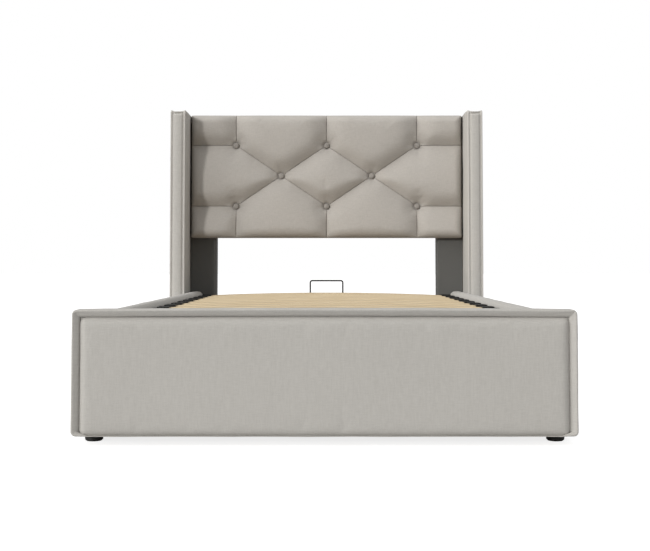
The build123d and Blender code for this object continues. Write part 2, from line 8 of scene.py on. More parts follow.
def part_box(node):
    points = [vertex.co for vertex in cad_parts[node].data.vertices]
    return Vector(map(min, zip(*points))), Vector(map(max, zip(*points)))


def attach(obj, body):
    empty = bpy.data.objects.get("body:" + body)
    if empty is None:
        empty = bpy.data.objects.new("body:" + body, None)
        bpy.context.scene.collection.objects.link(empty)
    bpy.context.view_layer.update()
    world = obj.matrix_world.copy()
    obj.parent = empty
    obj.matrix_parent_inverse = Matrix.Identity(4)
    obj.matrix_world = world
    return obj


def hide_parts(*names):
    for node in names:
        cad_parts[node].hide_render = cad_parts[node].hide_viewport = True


# An upholstered storage bed, dressed over its frame. Metres, +Z up, the footboard faces -Y.

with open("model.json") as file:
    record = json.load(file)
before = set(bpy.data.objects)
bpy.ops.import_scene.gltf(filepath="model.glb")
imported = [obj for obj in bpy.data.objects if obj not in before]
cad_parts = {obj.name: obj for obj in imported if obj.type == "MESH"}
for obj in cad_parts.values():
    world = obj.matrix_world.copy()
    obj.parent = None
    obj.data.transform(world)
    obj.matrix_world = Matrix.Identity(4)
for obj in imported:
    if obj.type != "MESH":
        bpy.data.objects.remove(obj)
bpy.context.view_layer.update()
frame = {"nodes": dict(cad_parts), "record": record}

MM = 0.001

# Cloth
WEAVE_PITCH = 1.9 * MM
LONG_CUT = 26 * MM

# Footboard pad: a sheet of even cells, pressed into the border and rolled in at its seam
PAD_CELLS = (140, 36)
PAD_OVERLAP = 1.2 * MM
PAD_CORNER = 12 * MM
PAD_ROLL = 15 * MM
PAD_SINK = 11 * MM
PAD_CROWN = 1.2 * MM
PAD_CROWN_REACH = 100 * MM
PAD_FRONT_LIMIT = 2 * MM
PAD_HELD_RIM = 2 * MM

# Footboard border: its rings from the outer edge to the seam, as inset and depth of each
BORDER_RINGS = ((0.8 * MM, 2.5 * MM), (2.2 * MM, 0.5 * MM), (4.0 * MM, 0.2 * MM), (8.0 * MM, 2.6 * MM),
                (12.5 * MM, 6.0 * MM), (16.2 * MM, 9.5 * MM), (17.2 * MM, 15.5 * MM))
BORDER_FRONT_SETBACK = 7 * MM
BORDER_BACK_ROLL = 8 * MM
BORDER_CORNER = 11 * MM
BORDER_CORNER_CUT = 2 * MM
BORDER_TOP_DROP = 2.5 * MM
BORDER_WIDTH = 19 * MM
BORDER_DEPTH = 20 * MM
UNDER_PAD_SHARE = 0.12
UNDER_PAD_SIDE = 12 * MM
MITRE_REACH = 20 * MM
MITRE_DEPTH = 12 * MM
MITRE_FOLD = 1.6 * MM

# Side rails
RAIL_TOP_ROLL = 20 * MM
RAIL_END_ROLL = 16 * MM
RAIL_CUT = 30 * MM
RAIL_UNCUT_TOP = 22 * MM

# Tufted panel: a grid of 6 by 4 steps, with whole cells of cloth in each step
PLEAT_COLUMNS = 6
PLEAT_ROWS = 4
PLEAT_CELLS = 28
PANEL_CORNER = 8 * MM
PANEL_DRAW_IN = 1.5 * MM
PANEL_DROP = 5 * MM
PANEL_DROP_REACH = 60 * MM
PANEL_ROLL = 34 * MM
SEAM_DEPTH = 24 * MM

# Puffs: their height, the share of it left at a pleat, and how much lower the filling sags
PUFF_HEIGHT = 49 * MM
PUFF_REACH = 96 * MM
PUFF_SAG = 0.45
PLEAT_SHARE = 0.22
PLEAT_SLIT = 1.3 * MM
SLIT_DEPTH = 5.5 * MM

# Round a button: the dimple, the moat under its rim and the small folds
DIMPLE_REACH = 36 * MM
DIMPLE_SHARE = 0.98
MOAT_REACH = 17 * MM
MOAT_SHARE = 0.22
FOLD_RADIUS = 29 * MM
FOLD_SPREAD = 11 * MM
FOLD_SHARE = 0.017
HELD_ROUND_BUTTON = 30 * MM
HELD_AT_EDGE = 16 * MM

# Buttons: a dome over a pinched rim and a shank, as share of the radius and height in mm
BUTTON_RADIUS = 11.5 * MM
BUTTON_SEAT = 2 * MM
BUTTON_PROFILE = ((0.0, 7.2), (0.35, 6.9), (0.62, 5.9), (0.84, 4.2), (0.97, 2.4), (1.0, 1.2), (0.93, 0.0),
                  (0.7, -1.5), (0.6, -9.0))

# Top wrap of the headboard
WRAP_THICKNESS = 1 * MM
WRAP_LAP = 1.5 * MM
WRAP_ROLL = 5 * MM
WRAP_CUT = 40 * MM

# Wings: rolled edges, a crowned front strip between two grooves, and a cap above a fold
WING_ROLL = 6 * MM
WING_CUT = 24 * MM
WING_CAP_ZONE = 30 * MM
WING_CAP_CUT = 2 * MM
WING_CROWN = 6.5 * MM
WING_STRIP_CUT = 4 * MM
WING_STRIP_EDGE = 5 * MM
WING_GROOVE_PLACE = 8 * MM
WING_GROOVE_WIDTH = 2 * MM
WING_GROOVE_DEPTH = 3.5 * MM
WING_GROOVE_ZONE = (5 * MM, 12 * MM, 14 * MM)
WING_GROOVE_CUT = 1.75 * MM
WING_CAP = 12 * MM
WING_CAP_SHARE = 0.45
WING_FOLD_WIDTH = 3 * MM
WING_FOLD_DEPTH = 8 * MM
WING_TOP_SAG = 3.5 * MM
WING_INNER_SWELL = 7 * MM
WING_SWELL_FADE = 60 * MM
PANEL_CLEARANCE = 3.5 * MM
RAIL_CLEARANCE = 9 * MM

# Unevenness of cloth over foam: height of the waves, waves per metre and a seed for each side
BORDER_WAVES = (0.8 * MM, 14, 3.1)
RAIL_WAVES = {"left": (1.1 * MM, 9, 5.3), "right": (1.1 * MM, 9, 8.9)}
WING_WAVES = {"left": (0.8 * MM, 11, 4.4), "right": (0.8 * MM, 11, 7.7)}

# Camera, fitted to the photograph: 650 by 551 pixels, low at the foot end and tipped up a little
IMAGE_WIDTH = 650
IMAGE_HEIGHT = 551
FOCAL_PIXELS = 1076
HORIZON_ROW = 261.5
VANISHING_COLUMN = 328.8
CAMERA_DISTANCE = 2.32
CAMERA_HEIGHT = 0.395
CAMERA_SIDE = 0.009
CAMERA_PITCH = math.radians(2.5)
SENSOR = 36

# Lights from the left front: strength, angle to the bed's length, height and spread, in degrees.
# The key's angles give the shadow that the left wing throws on the panel.
KEY_LIGHT = (1.25, 28, 14, 6)
SIDE_LIGHT = (1.15, 66, 22, 35)
OVERHEAD_POWER = 28
OVERHEAD_SIZE = 3.5
OVERHEAD_HEIGHT = 3.4
SUN_COLOUR = (1.0, 0.985, 0.96)
FLOOR_SIZE = 30
FLOOR_TONE = 0.5
FLOOR_GLOW = 0.80
SURROUND_FILL = 0.46


# Frame places


def low_high(name):
    """The two corners of a node's box as vectors."""
    low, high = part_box(name)
    return Vector(low), Vector(high)


# Shader helpers


def node(tree, kind, **settings):
    """A shader node with its settings."""
    made = tree.nodes.new(kind)
    for key, value in settings.items():
        setattr(made, key, value)
    return made


def feed(tree, socket, value):
    """Feed a socket from another socket, or set it."""
    if hasattr(value, "links"):
        tree.links.new(value, socket)
    else:
        socket.default_value = value


def maths(tree, operation, a, b=None):
    """A Math node fed by sockets or numbers."""
    made = node(tree, "ShaderNodeMath", operation=operation)
    feed(tree, made.inputs[0], a)
    if b is not None:
        feed(tree, made.inputs[1], b)
    return made.outputs[0]


def new_group(name, inputs, outputs):
    """An empty node group with its named sockets: (name, kind, default) in, (name, kind) out."""
    group = bpy.data.node_groups.new(name, "ShaderNodeTree")
    for label, kind, default in inputs:
        socket = group.interface.new_socket(label, in_out="INPUT", socket_type="NodeSocket" + kind)
        socket.default_value = default
    for label, kind in outputs:
        group.interface.new_socket(label, in_out="OUTPUT", socket_type="NodeSocket" + kind)
    return group, node(group, "NodeGroupInput"), node(group, "NodeGroupOutput")


def spread_out(tree):
    """Lay the nodes of a tree out in rows, so that it can be read in the editor."""
    for index, made in enumerate(tree.nodes):
        made.location = (240 * (index % 8), -320 * (index // 8))


def noise_at(tree, vector, scale, detail=2.0, roughness=0.5):
    """Noise on a coordinate."""
    made = node(tree, "ShaderNodeTexNoise")
    made.inputs["Scale"].default_value = scale
    made.inputs["Detail"].default_value = detail
    made.inputs["Roughness"].default_value = roughness
    tree.links.new(vector, made.inputs["Vector"])
    return made.outputs["Fac"]


def stretched(tree, vector, scale):
    """A coordinate scaled unevenly."""
    made = node(tree, "ShaderNodeMapping")
    made.inputs["Scale"].default_value = scale
    tree.links.new(vector, made.inputs["Vector"])
    return made.outputs["Vector"]


def mix_colour(tree, factor, a, b):
    """A colour mix of two sockets."""
    made = node(tree, "ShaderNodeMix", data_type="RGBA")
    tree.links.new(factor, made.inputs["Factor"])
    feed(tree, made.inputs[6], a)
    feed(tree, made.inputs[7], b)
    return made.outputs[2]


# Surface effects


def thread_waves(group, coords, pitch):
    """Crossed threads on any face: the product of two waves, picked by where the face looks."""
    place = node(group, "ShaderNodeSeparateXYZ")
    group.links.new(coords.outputs["Object"], place.inputs[0])
    facing = node(group, "ShaderNodeSeparateXYZ")
    group.links.new(coords.outputs["Normal"], facing.inputs[0])
    waves = []
    for axis in range(3):
        turns = maths(group, "DIVIDE", place.outputs[axis], pitch)
        waves.append(maths(group, "SINE", maths(group, "MULTIPLY", turns, math.tau)))
    total = None
    for axis, (a, b) in enumerate(((1, 2), (0, 2), (0, 1))):
        weave = maths(group, "MULTIPLY", waves[a], waves[b])
        share = maths(group, "POWER", maths(group, "ABSOLUTE", facing.outputs[axis]), 2)
        part = maths(group, "MULTIPLY", weave, share)
        total = part if total is None else maths(group, "ADD", total, part)
    return total


def linen_group():
    """Crossed threads with slubs and a slow drift of tone."""
    group, start, end = new_group(
        "linen_weave",
        [("Thread", "Color", (0.6, 0.6, 0.6, 1)), ("Shade", "Color", (0.4, 0.4, 0.4, 1)),
         ("Pitch", "Float", WEAVE_PITCH), ("Heather", "Float", 0.5)],
        [("Colour", "Color"), ("Height", "Float"), ("Roughness", "Float")])
    links = group.links
    coords = node(group, "ShaderNodeTexCoord")
    threads = thread_waves(group, coords, start.outputs["Pitch"])
    across = noise_at(group, stretched(group, coords.outputs["Object"], (60, 60, 420)), 1.0)
    along = noise_at(group, stretched(group, coords.outputs["Object"], (420, 420, 50)), 1.0)
    fine = noise_at(group, coords.outputs["Object"], 900, 1.0)
    soft = noise_at(group, coords.outputs["Object"], 2.6, 3.0)
    slub = maths(group, "ADD", maths(group, "MULTIPLY", across, 0.5), maths(group, "MULTIPLY", along, 0.5))
    slub = maths(group, "ADD", slub, maths(group, "MULTIPLY", fine, 0.35))
    tone = maths(group, "SUBTRACT", slub, 0.675)
    tone = maths(group, "MULTIPLY", tone, start.outputs["Heather"])
    tone = maths(group, "MULTIPLY", tone, 2.6)
    drift = maths(group, "MULTIPLY", maths(group, "SUBTRACT", soft, 0.5), 0.22)
    shade = maths(group, "ADD", maths(group, "ADD", tone, drift), maths(group, "MULTIPLY", threads, -0.12))
    factor = node(group, "ShaderNodeClamp")
    links.new(maths(group, "ADD", shade, 0.3), factor.inputs["Value"])
    colour = mix_colour(group, factor.outputs[0], start.outputs["Thread"], start.outputs["Shade"])
    links.new(colour, end.inputs["Colour"])
    height = maths(group, "ADD", maths(group, "MULTIPLY", threads, 0.5), maths(group, "MULTIPLY", slub, 0.8))
    links.new(height, end.inputs["Height"])
    links.new(maths(group, "ADD", maths(group, "MULTIPLY", soft, 0.12), 0.82), end.inputs["Roughness"])
    spread_out(group)
    return group


def wear_group():
    """Scuffs and fine grit on a hard surface."""
    group, start, end = new_group(
        "surface_wear",
        [("Base", "Color", (0.1, 0.1, 0.1, 1)), ("Worn", "Color", (0.3, 0.3, 0.3, 1)),
         ("Scuff", "Float", 0.2), ("Dullness", "Float", 0.4)],
        [("Colour", "Color"), ("Height", "Float"), ("Roughness", "Float")])
    links = group.links
    coords = node(group, "ShaderNodeTexCoord").outputs["Object"]
    cloud = noise_at(group, coords, 9.0, 5.0, 0.6)
    grit = noise_at(group, coords, 700.0)
    scratch = noise_at(group, stretched(group, coords, (40, 900, 900)), 1.0)
    mask = maths(group, "MULTIPLY", maths(group, "MULTIPLY", cloud, scratch), start.outputs["Scuff"])
    links.new(mix_colour(group, mask, start.outputs["Base"], start.outputs["Worn"]), end.inputs["Colour"])
    rough = maths(group, "ADD", start.outputs["Dullness"], maths(group, "MULTIPLY", cloud, 0.22))
    links.new(maths(group, "SUBTRACT", rough, 0.11), end.inputs["Roughness"])
    links.new(maths(group, "ADD", grit, maths(group, "MULTIPLY", scratch, 0.3)), end.inputs["Height"])
    spread_out(group)
    return group


def grain_group():
    """Long wood grain along X, with fine pores."""
    group, start, end = new_group(
        "wood_grain",
        [("Light", "Color", (0.8, 0.7, 0.5, 1)), ("Dark", "Color", (0.6, 0.45, 0.3, 1)),
         ("Ring", "Float", 1.0)],
        [("Colour", "Color"), ("Height", "Float"), ("Roughness", "Float")])
    links = group.links
    coords = node(group, "ShaderNodeTexCoord").outputs["Object"]
    bend = noise_at(group, stretched(group, coords, (1.4, 14, 14)), 1.0, 3.0)
    rings = maths(group, "MULTIPLY", bend, start.outputs["Ring"])
    rings = maths(group, "MULTIPLY", rings, 60.0)
    rings = maths(group, "ADD", maths(group, "MULTIPLY", maths(group, "SINE", rings), 0.5), 0.5)
    pores = noise_at(group, stretched(group, coords, (14, 800, 800)), 1.0, 3.0, 0.6)
    factor = maths(group, "ADD", maths(group, "MULTIPLY", rings, 0.3), maths(group, "MULTIPLY", pores, 0.5))
    links.new(mix_colour(group, factor, start.outputs["Light"], start.outputs["Dark"]), end.inputs["Colour"])
    links.new(maths(group, "ADD", maths(group, "MULTIPLY", pores, 0.18), 0.42), end.inputs["Roughness"])
    links.new(maths(group, "ADD", pores, maths(group, "MULTIPLY", rings, 0.2)), end.inputs["Height"])
    spread_out(group)
    return group


LINEN = linen_group()
WEAR = wear_group()
GRAIN = grain_group()


# Finishes

FINISH = {}


def material(name, group, values, bump, distance, **shader):
    """Add the finish of one slot: a Principled material fed by one of the shared groups."""
    made = bpy.data.materials.new(name)
    FINISH[name] = made
    made.use_nodes = True
    tree = made.node_tree
    principled = tree.nodes["Principled BSDF"]
    effect = node(tree, "ShaderNodeGroup")
    effect.node_tree = group
    for key, value in values.items():
        effect.inputs[key].default_value = value
    tree.links.new(effect.outputs["Colour"], principled.inputs["Base Color"])
    tree.links.new(effect.outputs["Roughness"], principled.inputs["Roughness"])
    relief = node(tree, "ShaderNodeBump")
    relief.inputs["Strength"].default_value = bump
    relief.inputs["Distance"].default_value = distance
    tree.links.new(effect.outputs["Height"], relief.inputs["Height"])
    tree.links.new(relief.outputs["Normal"], principled.inputs["Normal"])
    for key, value in shader.items():
        principled.inputs[key.replace("_", " ")].default_value = value
    spread_out(tree)


def grey(value):
    """A neutral colour."""
    return (value, value, value, 1)


def fabric(name, thread, shade, heather=0.38):
    """Upholstery linen in two tones of thread."""
    material(name, LINEN, {"Thread": thread, "Shade": shade, "Heather": heather}, 0.35, 0.0005,
             Sheen_Weight=0.12, Sheen_Roughness=0.5, Specular_IOR_Level=0.2)


def hard_finish(name, base, worn, scuff, dullness, **shader):
    """Paint, plastic, rubber or metal with a little wear."""
    values = {"Base": base, "Worn": worn, "Scuff": scuff, "Dullness": dullness}
    material(name, WEAR, values, 0.25, 0.0002, **shader)


def timber(name, light, dark, ring, bump, distance, gloss):
    """Wood in two tones of grain."""
    values = {"Light": light, "Dark": dark, "Ring": ring}
    material(name, GRAIN, values, bump, distance, Specular_IOR_Level=gloss)


def make_finishes():
    """Every finish, by the slot names of the record."""
    fabric("linen_upholstery", (0.545, 0.53, 0.50, 1), (0.375, 0.36, 0.335, 1))
    # Painted shade: the tufted panel is the same linen, painted darker and warmer to stand for the lower
    # light on the headboard and the warm shade in its hollows
    fabric("tufted_upholstery", (0.50, 0.474, 0.440, 1), (0.335, 0.312, 0.286, 1))
    # Painted shade: the buttons are covered in the same linen, painted darker to stand for the shade of the
    # dimples round them
    fabric("button_cloth", (0.37, 0.347, 0.32, 1), (0.235, 0.218, 0.20, 1))
    # Painted highlight: the welts are the same linen, painted lighter to stand for the light that their
    # rounded edges catch
    fabric("welt_cloth", (0.60, 0.58, 0.55, 1), (0.42, 0.40, 0.375, 1), 0.35)
    fabric("back_lining", (0.022, 0.022, 0.024, 1), (0.010, 0.010, 0.011, 1), 0.8)
    hard_finish("dark_post_paint", (0.095, 0.095, 0.090, 1), grey(0.14), 0.25, 0.62)
    hard_finish("cap_plastic", grey(0.006), grey(0.02), 0.3, 0.6, Specular_IOR_Level=0.25)
    hard_finish("foot_plastic", grey(0.010), grey(0.05), 0.4, 0.42)
    hard_finish("pad_rubber", grey(0.014), grey(0.05), 0.4, 0.8)
    hard_finish("zinc_steel", (0.58, 0.58, 0.56, 1), (0.42, 0.42, 0.40, 1), 0.8, 0.38, Metallic=1.0)
    hard_finish("black_steel", grey(0.018), grey(0.10), 0.35, 0.48, Metallic=0.2)
    hard_finish("strut_paint", grey(0.012), grey(0.06), 0.2, 0.25, Coat_Weight=0.4)
    hard_finish("rod_chrome", grey(0.72), grey(0.55), 0.3, 0.14, Metallic=1.0)
    timber("slat_wood", (0.74, 0.61, 0.41, 1), (0.57, 0.44, 0.27, 1), 1.0, 0.12, 0.0003, 0.35)
    timber("board_wood", (0.55, 0.40, 0.24, 1), (0.36, 0.23, 0.12, 1), 1.6, 0.2, 0.0004, 0.25)


def dress_nodes():
    """Give each carried-over node the finish of its slot."""
    slots = {entry["node"]: entry["material_slot"] for entry in frame["record"]["subparts"]}
    for name, piece in frame["nodes"].items():
        piece.data.materials.clear()
        piece.data.materials.append(FINISH[slots[name]])


# Mesh helpers


def finish_piece(name, bm, finish, nodes):
    """Turn a bmesh into a fixed piece of the bed that stands for the named nodes."""
    bmesh.ops.remove_doubles(bm, verts=bm.verts, dist=1e-6)
    bmesh.ops.recalc_face_normals(bm, faces=bm.faces)
    mesh = bpy.data.meshes.new(name)
    bm.to_mesh(mesh)
    bm.free()
    piece = bpy.data.objects.new(name, mesh)
    bpy.context.collection.objects.link(piece)
    mesh.materials.append(FINISH[finish])
    smooth_faces(mesh, 40)
    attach(piece, "root")
    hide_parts(*nodes)
    return piece


def smooth_faces(mesh, sharp_from):
    """Shade a mesh smooth, but for edges sharper than an angle in degrees."""
    for face in mesh.polygons:
        face.use_smooth = True
    mesh.set_sharp_from_angle(angle=math.radians(sharp_from))


def box_mesh(low, high):
    """A bmesh box between two corners."""
    bm = bmesh.new()
    bmesh.ops.create_cube(bm, size=1.0)
    bmesh.ops.scale(bm, vec=high - low, verts=bm.verts)
    bmesh.ops.translate(bm, vec=(low + high) / 2, verts=bm.verts)
    return bm


def edges_where(bm, test):
    """The edges whose two ends pass a test."""
    return [edge for edge in bm.edges if all(test(vert.co) for vert in edge.verts)]


def bevel(bm, edges, radius, segments):
    """Round some edges."""
    bmesh.ops.bevel(bm, geom=edges, offset=radius, offset_type="OFFSET", affect="EDGES",
                    segments=segments, profile=0.5, material=-1, clamp_overlap=True)


def slice_along(bm, axis, low, high, step):
    """Cut a mesh across one axis at even steps, its limits included."""
    count = max(1, round((high - low) / step))
    normal = Vector((0, 0, 0))
    normal[axis] = 1
    for index in range(count + 1):
        place = Vector((0, 0, 0))
        place[axis] = low + (high - low) * index / count
        geom = list(bm.verts) + list(bm.edges) + list(bm.faces)
        bmesh.ops.bisect_plane(bm, geom=geom, plane_co=place, plane_no=normal, dist=1e-5)


def soften(bm, height, scale, seed):
    """Push the surface in and out a little, as cloth over foam does."""
    bm.normal_update()
    moves = []
    for vert in bm.verts:
        wave = noise.noise(vert.co * scale + Vector((seed, seed * 0.7, -seed)))
        moves.append((vert, vert.normal * wave * height))
    for vert, move in moves:
        vert.co += move


def rolled(distance, reach):
    """Height share of a rolled edge at a distance from it."""
    share = min(max(distance / reach, 0.0), 1.0)
    return math.sqrt(max(0.0, 1 - (1 - share) ** 2))


def rounded_in(x, z, low, high, radius):
    """Pull a point of a rectangle into its rounded corners, and give its distance from the edge."""
    nx = min(max(x, low.x + radius), high.x - radius)
    nz = min(max(z, low.z + radius), high.z - radius)
    dx, dz = x - nx, z - nz
    if dx and dz:
        square = max(abs(dx), abs(dz))
        scale = square / math.hypot(dx, dz)
        return nx + dx * scale, nz + dz * scale, radius - square
    return x, z, min(x - low.x, high.x - x, z - low.z, high.z - z)


# Soft pads


def pad_grid(low, high, across, up):
    """A flat upright sheet of even cells between two corners."""
    bm = bmesh.new()
    bmesh.ops.create_grid(bm, x_segments=across, y_segments=up, size=0.5)
    bmesh.ops.scale(bm, vec=(high.x - low.x, high.z - low.z, 1), verts=bm.verts)
    bmesh.ops.rotate(bm, matrix=Matrix.Rotation(math.radians(90), 3, "X"), verts=bm.verts)
    middle = Vector(((low.x + high.x) / 2, 0, (low.z + high.z) / 2))
    bmesh.ops.translate(bm, vec=middle, verts=bm.verts)
    return bm


def sides_back(bm, back):
    """Carry the edge of a pad back to a plane."""
    rim = [edge for edge in bm.edges if edge.is_boundary]
    grown = bmesh.ops.extrude_edge_only(bm, edges=rim)["geom"]
    for vert in (item for item in grown if isinstance(item, bmesh.types.BMVert)):
        vert.co.y = back


def settle_cloth(piece, held, pressure, cap, spare, frames):
    """Blow up a pad with cloth simulation from its held points, and keep the result up to a cap."""
    group = piece.vertex_groups.new(name="held")
    group.add(held, 1.0, "REPLACE")
    before = [vert.co.copy() for vert in piece.data.vertices]
    cloth = piece.modifiers.new("cloth", "CLOTH")
    settings = cloth.settings
    settings.quality = 5
    settings.mass = 0.3
    settings.tension_stiffness = 25
    settings.compression_stiffness = 20
    settings.shear_stiffness = 12
    settings.bending_stiffness = 1.2
    settings.air_damping = 4
    settings.shrink_min = -spare
    settings.use_pressure = True
    settings.uniform_pressure_force = pressure
    settings.vertex_group_mass = "held"
    settings.effector_weights.gravity = 0
    cloth.collision_settings.use_collision = False
    scene = bpy.context.scene
    for step in range(1, frames + 1):
        scene.frame_set(step)
    shaped = piece.evaluated_get(bpy.context.evaluated_depsgraph_get()).to_mesh()
    after = [vert.co.copy() for vert in shaped.vertices]
    piece.modifiers.remove(cloth)
    piece.vertex_groups.remove(group)
    for vert, start, end in zip(piece.data.vertices, before, after):
        move = end - start
        if move.length > cap:
            move *= cap / move.length
        vert.co = start + move
    scene.frame_set(1)


def subdivided(piece):
    """Give a piece one level of subdivision, keeping its creased edges sharp."""
    smoother = piece.modifiers.new("smoother", "SUBSURF")
    smoother.levels = smoother.render_levels = 1
    smoother.boundary_smooth = "PRESERVE_CORNERS"
    graph = bpy.context.evaluated_depsgraph_get()
    mesh = bpy.data.meshes.new_from_object(piece.evaluated_get(graph))
    piece.modifiers.remove(smoother)
    old, piece.data = piece.data, mesh
    bpy.data.meshes.remove(old)


def close_back(piece):
    """Close the flat back of a pad. Before the subdivision, so large a face would stall it."""
    bm = bmesh.new()
    bm.from_mesh(piece.data)
    bmesh.ops.holes_fill(bm, edges=[edge for edge in bm.edges if edge.is_boundary], sides=0)
    bmesh.ops.recalc_face_normals(bm, faces=bm.faces)
    bm.to_mesh(piece.data)
    bm.free()
    smooth_faces(piece.data, 50)


# Footboard


def footboard_pad():
    """The big front pad: crowned, drawn in at its seam with rounded corners."""
    low, high = low_high("footboard_pad")
    overlap = Vector((PAD_OVERLAP, 0, PAD_OVERLAP))
    low, high = low - overlap, high + overlap
    bm = pad_grid(low, high, *PAD_CELLS)
    for vert in bm.verts:
        x, z, gap = rounded_in(vert.co.x, vert.co.z, low, high, PAD_CORNER)
        sink = PAD_SINK * (1 - rolled(gap, PAD_ROLL)) - PAD_CROWN * rolled(gap, PAD_CROWN_REACH)
        vert.co = Vector((x, low.y + PAD_CROWN + sink, z))
    sides_back(bm, high.y)
    piece = finish_piece("front_pad", bm, "linen_upholstery", ["footboard_pad"])
    held = [v.index for v in piece.data.vertices if v.co.y > low.y + PAD_SINK - PAD_HELD_RIM]
    settle_cloth(piece, held, pressure=0.5, cap=1.5 * MM, spare=0.002, frames=10)
    subdivided(piece)
    for vert in piece.data.vertices:
        vert.co.y = max(vert.co.y, low.y - PAD_FRONT_LIMIT)
    close_back(piece)


def footboard_border():
    """The padded border that frames the pad and wraps the back, sloping in to the seam."""
    low, high = low_high("footboard_cover")
    bm = box_mesh(low, high)
    bevel(bm, edges_where(bm, lambda co: co.y > high.y - 0.1 * MM), BORDER_BACK_ROLL, 4)
    front = min(bm.faces, key=lambda face: face.calc_center_median().y)
    for vert in front.verts:
        vert.co.y += BORDER_FRONT_SETBACK
    reached = 0.0
    for inset, depth in BORDER_RINGS:
        bmesh.ops.inset_region(bm, faces=[front], thickness=inset - reached, use_even_offset=True)
        for vert in front.verts:
            vert.co.y = low.y + depth
        reached = inset
    for axis in (0, 2):
        slice_along(bm, axis, low[axis] + BORDER_CORNER, high[axis] - BORDER_CORNER, LONG_CUT)
        slice_along(bm, axis, low[axis], low[axis] + BORDER_CORNER, BORDER_CORNER_CUT)
        slice_along(bm, axis, high[axis] - BORDER_CORNER, high[axis], BORDER_CORNER_CUT)
    shape_border(bm, low, high)
    mitre_fold(bm, low, high)
    soften(bm, *BORDER_WAVES)
    piece = finish_piece("footboard_border", bm, "linen_upholstery", ["footboard_cover"])


def shape_border(bm, low, high):
    """Round the corners, press the border flat under the pad and let its top fall to the ends."""
    half = (high.x - low.x) / 2
    for vert in bm.verts:
        vert.co.x, vert.co.z, _ = rounded_in(vert.co.x, vert.co.z, low, high, BORDER_CORNER)
        up = vert.co.z - low.z
        between_sides = abs(vert.co.x) < half - UNDER_PAD_SIDE
        if vert.co.y < low.y + BORDER_DEPTH and MM < up < BORDER_WIDTH and between_sides:
            vert.co.z = low.z + UNDER_PAD_SHARE * up
        if up > 0.8 * (high.z - low.z):
            vert.co.z -= BORDER_TOP_DROP * (vert.co.x / half) ** 2


def mitre_fold(bm, low, high):
    """Pinch the border along the fold at each upper corner."""
    for vert in bm.verts:
        across = min(vert.co.x - low.x, high.x - vert.co.x)
        down = high.z - vert.co.z
        if vert.co.y < low.y + MITRE_DEPTH and max(across, down) < MITRE_REACH:
            vert.co.y += MITRE_FOLD * math.exp(-((across - down) / MITRE_FOLD) ** 2)


# Side rails


def side_rail(side):
    """One padded rail with a soft rolled top and a rounded head end."""
    name = "side_rail_cover_" + side
    low, high = low_high(name)
    bm = box_mesh(low, high)
    top = edges_where(bm, lambda co: co.z > high.z - MM)
    bevel(bm, [edge for edge in top if edge.calc_length() > (high.y - low.y) / 2], RAIL_TOP_ROLL, 6)
    ends = edges_where(bm, lambda co: co.y > high.y - 0.1 * MM)
    ends = [edge for edge in ends if max(vert.co.z for vert in edge.verts) > low.z + MM]
    bevel(bm, ends, RAIL_END_ROLL, 5)
    slice_along(bm, 1, low.y, high.y, RAIL_CUT)
    slice_along(bm, 2, low.z, high.z - RAIL_UNCUT_TOP, RAIL_CUT)
    soften(bm, *RAIL_WAVES[side])
    piece = finish_piece("padded_rail_" + side, bm, "linen_upholstery", [name])


# Tufted panel


def pleats(low, high):
    """The pleats as pairs of points and the buttons, seen from the front as (x, z)."""
    def place(column, row):
        return (low.x + (high.x - low.x) * column / PLEAT_COLUMNS,
                low.z + (high.z - low.z) * row / PLEAT_ROWS)
    lines = []
    for column in (2, 4):
        lines += [(place(column, 2), place(column + side, row)) for side in (-1, 1) for row in (1, 3)]
    for row, edge in ((1, 0), (3, 4)):
        lines += [(place(column, row), place(column, edge)) for column in (1, 3, 5)]
        lines += [(place(1, row), place(0, row)), (place(5, row), place(6, row))]
    buttons = [place(column, row) for column in (1, 3, 5) for row in (1, 3)]
    return lines, buttons + [place(2, 2), place(4, 2)]


def line_foot(x, z, line):
    """The place on a pleat nearest to a point."""
    (ax, az), (bx, bz) = line
    dx, dz = bx - ax, bz - az
    share = ((x - ax) * dx + (z - az) * dz) / (dx * dx + dz * dz)
    share = min(max(share, 0.0), 1.0)
    return ax + share * dx, az + share * dz


def line_gap(x, z, line):
    """Distance of a point from a pleat."""
    foot_x, foot_z = line_foot(x, z, line)
    return math.hypot(x - foot_x, z - foot_z)


def nearest_gap(co, lines):
    """Distance of a point from the nearest pleat."""
    return min(line_gap(co.x, co.z, line) for line in lines)


def sagging_depth(x, z, lines):
    """How far a point lies inside its puff, counted longer above a pleat, since the filling sags."""
    gaps = []
    for line in lines:
        above = z - line_foot(x, z, line)[1]
        gaps.append(max(line_gap(x, z, line) + PUFF_SAG * above, 0.1 * MM))
    return sum(gap ** -5 for gap in gaps) ** -0.2


def puff_lift(x, z, lines, buttons, edge):
    """How far the tufted cloth stands out: plump between the pleats, drawn down at the buttons.

    The result also has the distance from the nearest pleat and the nearest button.
    """
    plump = 1 - (1 - min(sagging_depth(x, z, lines) / PUFF_REACH, 1.0)) ** 2
    reach, nearest = min((math.hypot(x - bx, z - bz), (bx, bz)) for bx, bz in buttons)
    lift = PLEAT_SHARE + (1 - PLEAT_SHARE) * plump
    lift *= 1 - DIMPLE_SHARE * math.exp(-(reach / DIMPLE_REACH) ** 2.1)
    lift -= MOAT_SHARE * math.exp(-(reach / MOAT_REACH) ** 6)
    turn = math.atan2(z - nearest[1], x - nearest[0])
    fold = math.sin(7 * turn + 40 * nearest[0]) + 0.6 * math.sin(11 * turn + 90 * nearest[1])
    lift += FOLD_SHARE * fold * math.exp(-((reach - FOLD_RADIUS) / FOLD_SPREAD) ** 2)
    return lift * rolled(edge, PANEL_ROLL), min(line_gap(x, z, line) for line in lines), reach


